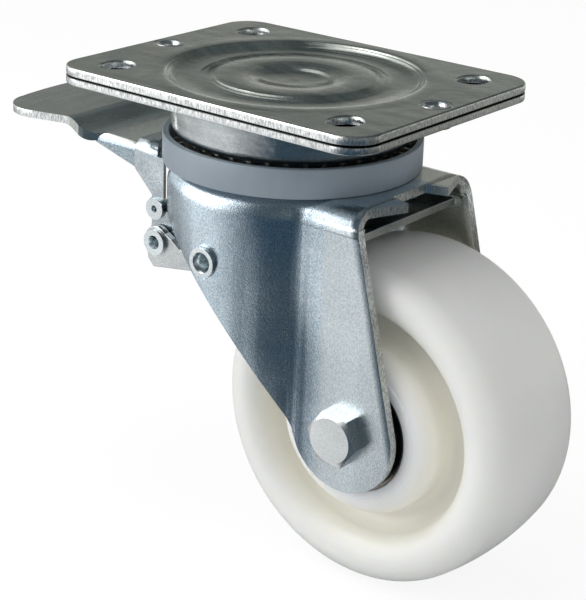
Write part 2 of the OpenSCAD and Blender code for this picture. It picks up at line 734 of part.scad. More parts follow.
// Side outline of the pedal's hub: saddle, arm down to the pivot, and the lobe for the cam
module hub_side() {
    polygon([[hub_x, neck_z + brake_t + over], [hub_x, neck_z - 8.5], rivet_axis + [-2.2, 5],
        rivet_axis + [-2.2, -6], pedal_axis + [-6.2, 1], pedal_axis + [5, -3], cam_axis + [1, -4.4],
        cam_axis + [3, 3.4], rivet_axis + [7, -2], [-30, neck_z + brake_t + over]]);
    translate(pedal_axis) circle(6.2);
    translate(cam_axis) circle(4.5);
    translate(rivet_axis) circle(4.6);
}

module pedal_hub() color("#c3c9cc") difference() {
    intersection() {
        difference() {
            channel(2 * hub_half, neck_z + brake_t, 5, 3 * crown_z, hub_x - over, -15);
            channel(2 * neck_half, neck_z, 2, 4 * crown_z, hub_x - 2 * over, -14);
        }
        across(3 * hub_half) hub_side();
    }
    head_room();
    rod(rivet_axis, rivet_r + slip, -wing_half, wing_half);
    rod(pedal_axis, pin_r + 0.06, -wing_half, wing_half);
    rod(cam_axis, cam_tenon, -wing_half, wing_half);
}

// Rivets that join the wing's flanges to the hub
module pedal_rivets() color("#c4ccd0") difference() {
    union() {
        rods(rivet_axis, rivet_r, neck_half - brake_t, hub_half + rivet_head);
        rods(rivet_axis, rivet_r + 1.8, hub_half, hub_half + rivet_head);
    }
    rods(rivet_axis, rivet_r - 1, neck_half, hub_half + 3);
}

// Pin between the hub's arms that lifts the brake plate's tail
module cam_pin() color("#a8aaa8") {
    rod(cam_axis, cam_r, -neck_half, neck_half);
    rod(cam_axis, cam_tenon - slip, -hub_half, hub_half);
}

// Brake plate: shell round the tread, ears on the pivot and a tail over the cam
module brake_plate() color("#aeb2b2") difference() {
    union() {
        across(2 * shoe_half) shoe_section();
        on_both_sides(shoe_half - brake_t, shoe_half) ear_side();
        translate([ear_x, -shoe_half, tail_z]) cube([coil_x - ear_x, 2 * shoe_half, brake_t]);
        translate([tail_x, -tail_half, tail_z]) cube([ear_x - tail_x + over, 2 * tail_half, brake_t]);
    }
    rod(brake_axis, pin_r + 0.06, -head_r, head_r);
}

// Section of the shell, a sector of a ring about the axle
module shoe_section() intersection() {
    translate(axle) difference() {
        circle(shoe_r + brake_t, $fn = 180);
        circle(shoe_r, $fn = 180);
    }
    polygon([axle, axle + 2 * shoe_r * [cos(shoe_end_a), sin(shoe_end_a)],
        axle + 2 * shoe_r * [cos(shoe_start_a), sin(shoe_start_a)]]);
}

module ear_side() {
    translate(brake_axis) circle(ear_r);
    polygon([brake_axis - [ear_r, 0], [ear_x, tail_z], [ear_x, tail_z + brake_t], brake_axis + [0, ear_r],
        axle + (shoe_r + brake_t) * [cos(shoe_start_a - 14), sin(shoe_start_a - 14)],
        axle + (shoe_r + 1) * [cos(shoe_start_a - 14), sin(shoe_start_a - 14)],
        axle + (shoe_r + 1) * [cos(shoe_start_a - 1), sin(shoe_start_a - 1)]]);
}

// Pawl that slides up through the crown, its teeth in the gaps between the fins
module lock_pawl() color("#9a9d97") {
    translate([pawl_x - pawl_t / 2, -pawl_half, tail_z + brake_t + 0.1])
        cube([pawl_t, 2 * pawl_half, pawl_tip_z - pawl_tooth_h - tail_z - brake_t - 0.1]);
    for (i = [-1, 0, 1])
        translate([pawl_x - pawl_t / 2 + 0.2, i * pawl_pitch - pawl_tooth_w / 2,
            pawl_tip_z - pawl_tooth_h - over])
            cube([pawl_t - 0.4, pawl_tooth_w, pawl_tooth_h + over]);
}

top_plate();
bowl_plate();
plate_eyelets();
kingpin();
kingpin_sleeve();
lower_race();
kingpin_nut();
lock_ring();
upper_balls();
lower_balls();
dust_ring();
fork();
axle_bolt();
axle_washer();
axle_nut();
axle_tube();
bearing_spacers();
near_bearing_inner();
far_bearing_inner();
near_bearing_balls();
far_bearing_balls();
near_bearing_outer();
far_bearing_outer();
near_bearing_seal();
far_bearing_seal();
wheel();
brake_bracket();
brake_pivot();
pivot_spacers();
return_spring();
pedal_pivot();
pedal_wing();
pedal_hub();
pedal_rivets();
cam_pin();
brake_plate();
lock_pawl();
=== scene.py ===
import math

import bmesh
import bpy
from mathutils import Matrix, Vector


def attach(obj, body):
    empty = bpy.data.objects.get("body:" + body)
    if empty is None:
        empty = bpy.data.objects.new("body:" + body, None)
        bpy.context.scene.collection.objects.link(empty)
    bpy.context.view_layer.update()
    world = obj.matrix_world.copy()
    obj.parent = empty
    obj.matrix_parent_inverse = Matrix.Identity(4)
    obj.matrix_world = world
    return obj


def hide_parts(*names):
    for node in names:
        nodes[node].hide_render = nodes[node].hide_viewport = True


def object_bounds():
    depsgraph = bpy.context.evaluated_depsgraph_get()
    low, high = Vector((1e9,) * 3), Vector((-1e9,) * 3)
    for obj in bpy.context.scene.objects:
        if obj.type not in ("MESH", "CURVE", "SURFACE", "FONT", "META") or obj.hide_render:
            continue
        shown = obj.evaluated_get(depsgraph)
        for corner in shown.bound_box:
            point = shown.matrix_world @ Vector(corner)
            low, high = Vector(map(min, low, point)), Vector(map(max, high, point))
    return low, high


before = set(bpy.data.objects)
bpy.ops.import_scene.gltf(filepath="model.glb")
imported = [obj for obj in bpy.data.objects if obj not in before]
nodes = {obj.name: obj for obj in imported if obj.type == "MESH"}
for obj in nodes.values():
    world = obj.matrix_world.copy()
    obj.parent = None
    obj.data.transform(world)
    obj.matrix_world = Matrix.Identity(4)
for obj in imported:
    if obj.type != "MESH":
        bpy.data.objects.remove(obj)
cad_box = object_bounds()


# Mounting plates: two zinc-plated steel sheets lying face to face, the lower one drawn into the bowl.
# They were blanked on a press, which leaves bright, broken edges, and two eyelets hold them together.
def new_group(name, inputs, outputs):
    """Empty shader group with named sockets; returns the tree, its input node and its output node."""
    tree = bpy.data.node_groups.new(name, "ShaderNodeTree")
    for direction, sockets in (("INPUT", inputs), ("OUTPUT", outputs)):
        for socket, kind in sockets:
            tree.interface.new_socket(socket, in_out=direction, socket_type="NodeSocket" + kind)
    return tree, tree.nodes.new("NodeGroupInput"), tree.nodes.new("NodeGroupOutput")


def new_material(name):
    """Material made of nodes; returns it with its tree and its shader."""
    mat = bpy.data.materials.new(name)
    mat.use_nodes = True
    return mat, mat.node_tree, mat.node_tree.nodes["Principled BSDF"]


def feed(tree, socket, value):
    """Links a socket to another one, or sets it to a plain value."""
    if isinstance(value, bpy.types.NodeSocket):
        tree.links.new(value, socket)
    else:
        socket.default_value = value


def surface_place(tree):
    """Where a point of the surface lies, in metres of the shared frame."""
    return tree.nodes.new("ShaderNodeTexCoord").outputs["Object"]


def surface_axes(tree):
    """The same place as separate values X, Y and Z."""
    split = tree.nodes.new("ShaderNodeSeparateXYZ")
    tree.links.new(surface_place(tree), split.inputs[0])
    return split.outputs


def noise(tree, place, scale, detail, distortion=0.0):
    """Noise texture read at a place."""
    node = tree.nodes.new("ShaderNodeTexNoise")
    settings = {"Vector": place, "Scale": scale, "Detail": detail, "Distortion": distortion}
    for socket, value in settings.items():
        feed(tree, node.inputs[socket], value)
    return node.outputs["Fac"]


def math_node(tree, operation, first, second=0.0):
    """Math on sockets or plain numbers."""
    node = tree.nodes.new("ShaderNodeMath")
    node.operation = operation
    feed(tree, node.inputs[0], first)
    feed(tree, node.inputs[1], second)
    return node.outputs[0]


def vector_node(tree, operation, first, second=(0, 0, 0), output="Vector"):
    """Vector math on sockets or plain vectors."""
    node = tree.nodes.new("ShaderNodeVectorMath")
    node.operation = operation
    feed(tree, node.inputs[0], first)
    feed(tree, node.inputs[1], second)
    return node.outputs[output]


def remap(tree, value, low, high, to_low=0.0, to_high=1.0, smooth=False):
    """Maps a value from one span to another, clamped."""
    node = tree.nodes.new("ShaderNodeMapRange")
    node.interpolation_type = "SMOOTHSTEP" if smooth else "LINEAR"
    for socket, number in zip(("From Min", "From Max", "To Min", "To Max"), (low, high, to_low, to_high)):
        node.inputs[socket].default_value = number
    tree.links.new(value, node.inputs["Value"])
    return node.outputs["Result"]


def ramp(tree, value, stops):
    """Colour ramp fed by one value."""
    node = tree.nodes.new("ShaderNodeValToRGB")
    while len(node.color_ramp.elements) < len(stops):
        node.color_ramp.elements.new(0.5)
    for element, (at, colour) in zip(node.color_ramp.elements, stops):
        element.position = at
        element.color = (*colour, 1)
    tree.links.new(value, node.inputs["Fac"])
    return node.outputs["Color"]


def mix_colour(tree, blend, factor, first, second):
    """Mixes two colour sockets."""
    node = tree.nodes.new("ShaderNodeMix")
    node.data_type = "RGBA"
    node.blend_type = blend
    for socket, value in (("Factor", factor), ("A", first), ("B", second)):
        feed(tree, node.inputs[socket], value)
    return node.outputs["Result"]


def curve(tree, value, points, handle):
    """Float curve through points that run from 0 to 1 both ways."""
    node = tree.nodes.new("ShaderNodeFloatCurve")
    line = node.mapping.curves[0]
    while len(line.points) < len(points):
        line.points.new(0.5, 0.5)
    for point, place in zip(line.points, points):
        point.location = place
        point.handle_type = handle
    node.mapping.update()
    tree.links.new(value, node.inputs["Value"])
    return node.outputs["Value"]


def axis_distance(tree, centre, across):
    """Distance from an axis through a centre; across is 1 along the two directions that count."""
    off = vector_node(tree, "SUBTRACT", surface_place(tree), centre)
    flat = vector_node(tree, "MULTIPLY", off, across)
    return vector_node(tree, "LENGTH", flat, output="Value")


def zinc_skin_group():
    """Zinc plating: fine crystals, streaks from the rolls, cloudy passivation, the sheet's slight waves."""
    names = ("Crystals", "Streaks", "Clouds", "Waves")
    tree, given, out = new_group("zinc_skin", [("Stretch", "Vector")], [(name, "Float") for name in names])
    place = surface_place(tree)
    stretched = vector_node(tree, "MULTIPLY", place, given.outputs["Stretch"])
    coarse_share, fine_share = 0.60, 0.40
    coarse = math_node(tree, "MULTIPLY", noise(tree, place, scale=1500, detail=2), coarse_share)
    fine = math_node(tree, "MULTIPLY", noise(tree, place, scale=3000, detail=1), fine_share)
    made = (math_node(tree, "ADD", coarse, fine),
            noise(tree, stretched, scale=1, detail=5),
            noise(tree, place, scale=40, detail=5, distortion=0.8),
            noise(tree, place, scale=70, detail=3, distortion=0.4))
    for name, value in zip(names, made):
        tree.links.new(value, out.inputs[name])
    return tree


def cut_edge_group():
    """Faces picked by their normal and by where they lie: a mask, and the broken grain of a sheared face."""
    wanted = [("Cut Normal", "Vector"), ("Region", "Vector"), ("Region Start", "Float")]
    tree, given, out = new_group("cut_edge", wanted, [("Mask", "Float"), ("Specks", "Float")])
    coord = tree.nodes.new("ShaderNodeTexCoord")
    facing = vector_node(tree, "MULTIPLY", coord.outputs["Normal"], given.outputs["Cut Normal"])
    turned_off, turned_on, fade = 0.80, 0.95, 0.0015
    cut = remap(tree, vector_node(tree, "LENGTH", facing, output="Value"), turned_off, turned_on, smooth=True)
    along = vector_node(tree, "DOT_PRODUCT", coord.outputs["Object"], given.outputs["Region"], "Value")
    inside = remap(tree, math_node(tree, "SUBTRACT", along, given.outputs["Region Start"]), 0, fade)
    tree.links.new(math_node(tree, "MULTIPLY", cut, inside), out.inputs["Mask"])
    through_sheet, speck_low, speck_high = (1, 1, 0.35), 0.34, 0.64
    torn = vector_node(tree, "MULTIPLY", coord.outputs["Object"], through_sheet)
    specks = remap(tree, noise(tree, torn, scale=1900, detail=2), speck_low, speck_high)
    tree.links.new(specks, out.inputs["Specks"])
    return tree


def rolled_edge_group():
    """Die roll: how far a sheet's face has fallen away near a straight sheared edge, from 0 to 1."""
    wanted = [("Edge Normal", "Vector"), ("Edge Place", "Float"), ("Width", "Float")]
    tree, given, out = new_group("rolled_edge", wanted, [("Fall", "Float")])
    along = vector_node(tree, "DOT_PRODUCT", surface_place(tree), given.outputs["Edge Normal"], "Value")
    inward = math_node(tree, "SUBTRACT", given.outputs["Edge Place"], along)
    near = remap(tree, math_node(tree, "DIVIDE", inward, given.outputs["Width"]), 0, 1, 1, 0)
    tree.links.new(math_node(tree, "POWER", near, 2), out.inputs["Fall"])
    return tree


zinc_skin, cut_edge, rolled_edge = zinc_skin_group(), cut_edge_group(), rolled_edge_group()


def place_group(tree, group, values):
    """Puts a shader group in a material with its own values."""
    node = tree.nodes.new("ShaderNodeGroup")
    node.node_tree = group
    for socket, value in values.items():
        node.inputs[socket].default_value = value
    return node.outputs


def pick_faces(tree, normal, region, start):
    """Mask and specks of the faces with a normal that lie beyond a start along a region's direction."""
    return place_group(tree, cut_edge, {"Cut Normal": normal, "Region": region, "Region Start": start})


def add_bump(tree, height, depth, strength=1.0, below=None):
    """Bump from a height, on top of an earlier normal."""
    node = tree.nodes.new("ShaderNodeBump")
    node.inputs["Strength"].default_value = strength
    node.inputs["Distance"].default_value = depth
    tree.links.new(height, node.inputs["Height"])
    if below:
        tree.links.new(below, node.inputs["Normal"])
    return node.outputs["Normal"]


clean = (1, 1, 1)
cool_cast = (1, 0.85, 0.8)
torn_dark, torn_light = (0.46, 0.48, 0.48), (0.88, 0.90, 0.89)
torn_rough, torn_height = 0.10, 0.8
joint_dirt, joint_half, joint_clear = (0.02, 0.02, 0.02), 0.0003, 0.0006
skin_depth = 0.0002


def zinc_shade(tree, skin, dark, light, cloud, painted_light):
    """Colour of the plating: crystals from dark to light, dimmed by clouds and by streaks, then painted
    lighter or darker on some faces as painted light and shade.
    """
    colour = ramp(tree, skin["Crystals"], [(0.35, dark), (0.65, light)])
    cloudy = [1 - cloud * share for share in cool_cast]
    clouds = ramp(tree, skin["Clouds"], [(0.35, cloudy), (0.62, clean)])
    colour = mix_colour(tree, "MULTIPLY", 1, colour, clouds)
    rubbed = ramp(tree, skin["Streaks"], [(0.35, (1 - cloud,) * 3), (0.60, clean)])
    colour = mix_colour(tree, "MULTIPLY", 1, colour, rubbed)
    # Painted light and shade: each listed set of faces gets its own lighter or darker colour.
    for normal, region, start, dull, bright in painted_light:
        painted_mask = pick_faces(tree, normal, region, start)["Mask"]
        shade = ramp(tree, skin["Crystals"], [(0.38, dull), (0.62, bright)])
        colour = mix_colour(tree, "MIX", painted_mask, colour, shade)
    return colour


def zinc_form(tree, normal, roll, relief, flank):
    """Normals of what the press drew: a rolled edge, a rounded dish and a flank that turns in."""
    if roll:
        towards, edge_place, width, depth = roll
        edge = {"Edge Normal": towards, "Edge Place": edge_place, "Width": width}
        fallen = math_node(tree, "MULTIPLY", place_group(tree, rolled_edge, edge)["Fall"], -1)
        normal = add_bump(tree, fallen, depth, below=normal)
    if relief:
        drawn, straight, reach, depth = relief
        from_axis = remap(tree, axis_distance(tree, (0, 0, 0), (1, 1, 0)), 0, reach)
        rounded = curve(tree, from_axis, drawn, "AUTO")
        rounding = math_node(tree, "SUBTRACT", rounded, curve(tree, from_axis, straight, "VECTOR"))
        normal = add_bump(tree, rounding, depth, below=normal)
    if flank:
        line, start, end, depth, top, bottom, share_at_top = flank
        axes = surface_axes(tree)
        turned_in = curve(tree, remap(tree, axes["X"], start, end), line, "AUTO")
        share = remap(tree, axes["Z"], bottom, top, 1, share_at_top, smooth=True)
        deepened = math_node(tree, "MULTIPLY", math_node(tree, "SUBTRACT", turned_in, 1), share)
        normal = add_bump(tree, deepened, depth, below=normal)
    return normal


def zinc(name, dark, light, rough, stretch=(60, 60, 60), cloud=0.15, grain=0.15, wave=0.00006,
         cuts=(), seam=None, roll=None, relief=None, flank=None, painted_light=()):
    """Plated steel. Crystals run from dark to light, clouds dim it, streaks vary its shade and roughness.

    Each cut is (normal, region, start), where the sheet was sheared. A seam is the height of a dirty joint
    with the next sheet, and a roll is (normal, place, width, depth) of an edge that the die drew down.
    A relief is (drawn, straight, reach, depth): it rounds a profile about the swivel axis. A flank is (line,
    start, end, depth, top, bottom, share at the top): a draw that falls along x by the line, and deepens
    from top to bottom. Each painted tone is (normal, region, start, dark, light): faces painted lighter or
    darker, as painted light and shade.
    """
    mat, tree, shader = new_material(name)
    skin = place_group(tree, zinc_skin, {"Stretch": stretch})
    colour = zinc_shade(tree, skin, dark, light, cloud, painted_light)
    roughness = remap(tree, skin["Streaks"], 0.35, 0.65, *rough)
    height = skin["Crystals"]
    for cut in cuts:
        edge = pick_faces(tree, *cut)
        broken = ramp(tree, edge["Specks"], [(0.1, torn_dark), (0.9, torn_light)])
        colour = mix_colour(tree, "MIX", edge["Mask"], colour, broken)
        torn = math_node(tree, "MULTIPLY", edge["Mask"], edge["Specks"])
        roughness = math_node(tree, "ADD", roughness, math_node(tree, "MULTIPLY", edge["Mask"], torn_rough))
        height = math_node(tree, "ADD", height, math_node(tree, "MULTIPLY", torn, torn_height))
    if seam is not None:
        off = math_node(tree, "ABSOLUTE", math_node(tree, "SUBTRACT", surface_axes(tree)["Z"], seam))
        dirt = ramp(tree, remap(tree, off, joint_half, joint_clear), [(0, joint_dirt), (1, clean)])
        colour = mix_colour(tree, "MULTIPLY", 1, colour, dirt)
    normal = zinc_form(tree, add_bump(tree, skin["Waves"], wave), roll, relief, flank)
    normal = add_bump(tree, height, skin_depth, grain, normal)
    tree.links.new(colour, shader.inputs["Base Color"])
    tree.links.new(roughness, shader.inputs["Roughness"])
    tree.links.new(normal, shader.inputs["Normal"])
    shader.inputs["Metallic"].default_value = 1
    return mat


def dress(node, mat, edge):
    """Gives a CAD node its material, and rounds its sharp edges by a width in metres, unless that is 0."""
    obj = nodes[node]
    obj.data.materials.clear()
    obj.data.materials.append(mat)
    if edge:
        weld = obj.modifiers.new("weld", "WELD")
        weld.merge_threshold = 1e-6
        soft = obj.modifiers.new("soft_edge", "BEVEL")
        soft.width = edge
        soft.segments = 2
        soft.limit_method = "ANGLE"
        soft.angle_limit = math.radians(35)
        soft.harden_normals = True
        soft.loop_slide = False


all_round = ((1, 1, 0), (0, 0, 0), -1)
flange_only = ((1, 1, 0), (0, 0, 1), -0.0066)
joint_z = -0.0035
# The pressed rings as (distance from the swivel axis, height), in millimetres: straight as in the solid,
# and with the soft bends of a drawn sheet.
dish_reach, dish_depth = 55.0, 4.0
dish_straight = ((0, -3), (13, -2.6), (18, -1.2), (30, -1.2), (31.5, -2), (44, -2), (48, 0), (55, 0))
dish_drawn = ((0, -3.9), (6, -3.8), (11, -3.2), (15, -1.6), (18, -0.9), (23, -0.5), (28, -0.7),
              (31, -1.6), (34, -2.6), (38, -3.2), (43, -2.8), (47, -1.0), (49.5, 0), (55, 0))
dish = [[(r / dish_reach, 1 + z / dish_depth) for r, z in line] for line in (dish_drawn, dish_straight)]
plate_zinc = zinc("plate_zinc", (0.50, 0.52, 0.48), (0.72, 0.74, 0.68), rough=(0.15, 0.27),
                  stretch=(12, 150, 60), cloud=0.22, grain=0.13, wave=0.00026, cuts=[all_round],
                  seam=joint_z, relief=(*dish, dish_reach / 1000, dish_depth / 1000))
dress("top_plate", plate_zinc, edge=0.0008)
bowl_zinc = zinc("bowl_zinc", (0.56, 0.59, 0.59), (0.76, 0.78, 0.78), rough=(0.13, 0.24),
                 stretch=(40, 40, 260), cloud=0.22, grain=0.06, wave=0.00060, cuts=[flange_only],
                 seam=joint_z)
dress("bowl_plate", bowl_zinc, edge=0.0008)
dress("plate_eyelets", bowl_zinc, edge=0.0003)


# Swivel lock ring: a toothed steel ring under the bowl, seen as a row of fins over the dust ring.
# It is pressed on the bowl's seat, and its raw steel is filmed with brownish grease.
lock_zinc = zinc("lock_zinc", (0.66, 0.62, 0.54), (0.86, 0.82, 0.74), rough=(0.30, 0.45))
dress("lock_ring", lock_zinc, edge=0)


# Dust ring: a moulded grey plastic ring that rests on the fork's crown and closes the swivel head.
# Its skin has the faint mottling and fine spark-eroded grain of a moulded part.
gloss_spread = 0.05


def plastic(name, dark, light, rough, scale, grain):
    """Moulded plastic with faint mottling, uneven gloss and a fine spark-eroded grain."""
    mat, tree, shader = new_material(name)
    place = surface_place(tree)
    mottle = noise(tree, place, scale, detail=4)
    tree.links.new(ramp(tree, mottle, [(0.35, dark), (0.65, light)]), shader.inputs["Base Color"])
    gloss = remap(tree, mottle, 0.35, 0.65, rough - gloss_spread, rough + gloss_spread)
    tree.links.new(gloss, shader.inputs["Roughness"])
    sparks = noise(tree, place, scale=1400, detail=2)
    tree.links.new(add_bump(tree, sparks, skin_depth, grain), shader.inputs["Normal"])
    return mat


ring_plastic = plastic("ring_plastic", (0.26, 0.315, 0.365), (0.28, 0.335, 0.385), rough=0.42,
                       scale=60, grain=0.10)
dress("dust_ring", ring_plastic, edge=0.0005)


# Fork: one bluish zinc-plated steel sheet, deep-drawn into a round head that runs into two flat legs.
# Its outline was sheared after drawing, so the trailing edges and the legs' rims are broken bright.
trailing_edges = ((1, 0, 0), (1, 0, 0), 0.050)
leg_rims = ((1, 0, 1), (0, 0, -1), 0.066)
trailing_roll = ((0.970, 0, 0.242), 0.0458, 0.0034, 0.0008)
# How the head's side falls in along x before the leg, as (x, fall) in millimetres. Then, in metres, how
# deep the shading draws it at the bottom and the two heights; at the top it is drawn by a share of that.
flank_start, flank_end, flank_depth = -10.0, 60.0, 11.2
flank_fall = ((-10, 0), (-5, 0.3), (0, 0.9), (5, 1.8), (10, 2.9), (20, 5.2), (30, 7.6), (34, 8.9),
              (38, 10.1), (43, 10.9), (48, 11.2), (60, 11.2))
flank_span = flank_end - flank_start
flank_line = [((x - flank_start) / flank_span, 1 - fall / flank_depth) for x, fall in flank_fall]
flank_draw, flank_top, flank_bottom, flank_share = 0.0162, -0.045, -0.090, 0.36
flank = (flank_line, flank_start / 1000, flank_end / 1000, flank_draw, flank_top, flank_bottom, flank_share)
# Painted shade and light: the legs' faces are painted darker than the head, and the faces on the far side
# lighter and warmer, as painted light bounced up from the wheel.
leg_painted_shade = ((0, 1, 0), (1, 0, 0), 0.042, (0.47, 0.54, 0.58), (0.66, 0.71, 0.73))
far_side_painted_bounce = ((0, 1, 1), (0, 1, 0), 0.012, (0.66, 0.67, 0.61), (0.86, 0.87, 0.81))
fork_zinc = zinc("fork_zinc", (0.38, 0.52, 0.64), (0.80, 0.85, 0.87), rough=(0.15, 0.25),
                 stretch=(30, 30, 30), cloud=0.12, grain=0.52, wave=0.00008,
                 cuts=[trailing_edges, leg_rims], roll=trailing_roll, flank=flank,
                 painted_light=[leg_painted_shade, far_side_painted_bounce])
dress("fork", fork_zinc, edge=0.0006)


# Swivel bearing inside the head: kingpin and nut in bright zinc, sleeve, lower race and two rows of balls.
# The turned parts are plain steel under a film of grease, and the balls are polished.
bolt_zinc = zinc("bolt_zinc", (0.66, 0.69, 0.70), (0.80, 0.82, 0.82), rough=(0.20, 0.32),
                 cloud=0.10, grain=0.06)
steel = zinc("plain_steel", (0.30, 0.30, 0.30), (0.46, 0.46, 0.46), rough=(0.25, 0.40))
ball_steel = zinc("ball_steel", (0.66, 0.67, 0.68), (0.80, 0.81, 0.82), rough=(0.08, 0.14),
                  cloud=0.05, grain=0.02)
dress("kingpin", bolt_zinc, edge=0.0005)
dress("kingpin_nut", bolt_zinc, edge=0.0005)
dress("kingpin_sleeve", steel, edge=0)
dress("lower_race", steel, edge=0)
dress("upper_balls", ball_steel, edge=0)
dress("lower_balls", ball_steel, edge=0)


# Axle: a hex bolt through both legs with a washer and nut on the far side, cold-headed steel in the same
# bright zinc as the kingpin. It runs in a plain steel tube.
for node in ("axle_bolt", "axle_washer", "axle_nut"):
    dress(node, bolt_zinc, edge=0.0005)
dress("axle_tube", steel, edge=0)


# Wheel: one piece of off-white nylon, cast and turned, with a groove between the rounded rim and the hub.
# The thick nylon lets a little light in, and its groove is painted cream as a painted glow of that light in
# the hollow, so it looks warm rather than grey.
def arc(centre, radius, start, end, steps):
    """Points on an arc of the profile, as (distance from the axle, distance along it), in millimetres."""
    turns = [math.radians(start + (end - start) * i / steps) for i in range(steps + 1)]
    return [(centre[0] + radius * math.cos(t), centre[1] + radius * math.sin(t)) for t in turns]


def turned(name, profile, centre, steps):
    """Closed body of revolution about an axle along Y; the profile is a closed loop in millimetres."""
    verts, faces, count = [], [], len(profile)
    for i in range(steps):
        turn = 2 * math.pi * i / steps
        for r, y in profile:
            x, z = r / 1000 * math.cos(turn), r / 1000 * math.sin(turn)
            verts.append((centre[0] + x, y / 1000, centre[1] + z))
        for j in range(count):
            here, there = i * count, (i + 1) % steps * count
            k = (j + 1) % count
            faces.append((here + j, there + j, there + k, here + k))
    mesh = bpy.data.meshes.new(name)
    mesh.from_pydata(verts, [], faces)
    mesh.validate()
    bm = bmesh.new()
    bm.from_mesh(mesh)
    bmesh.ops.recalc_face_normals(bm, faces=bm.faces)
    bm.to_mesh(mesh)
    bm.free()
    mesh.shade_smooth()
    obj = bpy.data.objects.new(name, mesh)
    bpy.context.scene.collection.objects.link(obj)
    return obj


axle_x, axle_z, tread_r = 0.0535, -0.1172, 63.5
crown_centre, crown_r = (-68.79, 0), 132.29
bead, bead_r = (53.10, 18.5), 9
groove, groove_r = (39.10, 18.0), 5
hub_round, hub_round_r, hub_round_end = (27.10, 21.7), 7, 88
hub_bore = [(27.2, 28.75), (27.1, 28.85), (27.0, 29.05), (26.8, 29.1), (23.9, 29.1), (23.6, 29.0),
            (23.52, 28.8), (23.52, 15.3), (23.4, 15.12), (20.7, 15.1), (20.5, 14.9), (20.5, 0)]
meet = math.degrees(math.atan2(bead[1], bead[0] - crown_centre[0]))
half = arc(crown_centre, crown_r, 0, meet, steps=12)
half += arc(bead, bead_r, meet, 180, steps=40)[1:]
half += arc(groove, groove_r, 0, -180, steps=32)
half += arc(hub_round, hub_round_r, 0, hub_round_end, steps=20)
half += hub_bore
profile = half + [(r, -y) for r, y in reversed(half[1:-1])]
nylon_wheel = turned("nylon_wheel", profile, (axle_x, axle_z), steps=192)
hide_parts("wheel")
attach(nylon_wheel, "wheel")
hub_white, groove_painted_glow, rim_white = (0.90, 0.92, 0.93), (0.94, 0.925, 0.84), (0.90, 0.91, 0.89)
wheel_nylon = plastic("wheel_nylon", (0.93, 0.93, 0.93), (0.97, 0.97, 0.97), rough=0.40,
                      scale=25, grain=0.04)
tree = wheel_nylon.node_tree
nylon = tree.nodes["Principled BSDF"]
# Painted light: cream in the groove, between a bluish-white hub and a white rim, stands in for light glowing
# through the nylon in the hollow.
from_axle = remap(tree, axis_distance(tree, (axle_x, 0, axle_z), (1, 0, 1)), 0, tread_r / 1000)
painted_glow = ramp(tree, from_axle,
              [(0.42, hub_white), (0.54, groove_painted_glow), (0.67, groove_painted_glow), (0.80, rim_white)])
mottled = nylon.inputs["Base Color"].links[0].from_socket
tree.links.new(mix_colour(tree, "MULTIPLY", 1, mottled, painted_glow), nylon.inputs["Base Color"])
nylon.inputs["Subsurface Weight"].default_value = 0.35
nylon.inputs["Subsurface Radius"].default_value = (0.006, 0.005, 0.0035)
nylon.inputs["Subsurface Scale"].default_value = 1
nylon_wheel.data.materials.append(wheel_nylon)


# Wheel bearings: ground steel rings with polished balls, pressed into the hub on both sides.
# Each is closed by a dark, greasy shield, and plain steel spacers keep them clear of the legs.
bearing_steel = zinc("bearing_steel", (0.24, 0.22, 0.20), (0.36, 0.34, 0.31), rough=(0.18, 0.30), cloud=0.1)
seal_dark = plastic("seal_dark", (0.016, 0.013, 0.011), (0.030, 0.024, 0.020), rough=0.45,
                    scale=200, grain=0.2)
for side in ("near", "far"):
    dress(side + "_bearing_inner", bearing_steel, edge=0.0003)
    dress(side + "_bearing_outer", bearing_steel, edge=0.0003)
    dress(side + "_bearing_balls", ball_steel, edge=0)
    dress(side + "_bearing_seal", seal_dark, edge=0.0002)
dress("bearing_spacers", steel, edge=0)


# Brake: pressed bracket, swinging brake plate, pedal hub and lock pawl, all zinc-plated sheet, with a
# return spring of plain steel wire. Hollow pins and rivets in brighter zinc hold them together.
brake_zinc = zinc("brake_zinc", (0.48, 0.50, 0.50), (0.68, 0.70, 0.70), rough=(0.24, 0.38),
                  cloud=0.22, grain=0.16)
for node in ("brake_bracket", "brake_plate", "lock_pawl"):
    dress(node, brake_zinc, edge=0.0005)
hub_zinc = zinc("hub_zinc", (0.40, 0.46, 0.50), (0.68, 0.73, 0.76), rough=(0.16, 0.28),
                cloud=0.25, grain=0.18)
dress("pedal_hub", hub_zinc, edge=0.0008)
pin_zinc = zinc("pin_zinc", (0.60, 0.66, 0.68), (0.80, 0.84, 0.86), rough=(0.14, 0.26), cloud=0.12)
for node in ("pedal_rivets", "pedal_pivot", "brake_pivot", "pivot_spacers", "cam_pin"):
    dress(node, pin_zinc, edge=0.0003)
dress("return_spring", steel, edge=0)


# Pedal: a pressed toe plate in satin zinc, riveted to the hub that turns in the bracket.
# Its rim is sheared like the plates' and rubbed bright.
wing_rim = ((1, 1, 0), (-1, 0, 0), 0.083)
# Painted light and shade: the neck's top is painted lighter where the plates above shade it, and the neck's
# flanges dark blue as a painted dark reflection.
neck_painted_light = ((0.3, 0, 1), (1, 0, 0), -0.0845, (0.80, 0.83, 0.80), (0.93, 0.95, 0.91))
neck_flanges_painted_shade = ((0, 1, 0), (1, 0, 0), -0.080, (0.20, 0.26, 0.30), (0.44, 0.51, 0.55))
pedal_zinc = zinc("pedal_zinc", (0.54, 0.56, 0.53), (0.72, 0.74, 0.70), rough=(0.20, 0.32),
                  stretch=(120, 12, 60), cloud=0.16, grain=0.12, wave=0.00010, cuts=[wing_rim],
                  painted_light=[neck_painted_light, neck_flanges_painted_shade])
dress("pedal_wing", pedal_zinc, edge=0.0008)


# Studio: a pale floor in a white room, soft light from the front left and from above, and grey flags
# that only reflections see, as a photographer sets them to give plated metal its dark tones.
scene = bpy.context.scene
scene.view_settings.view_transform = "Standard"


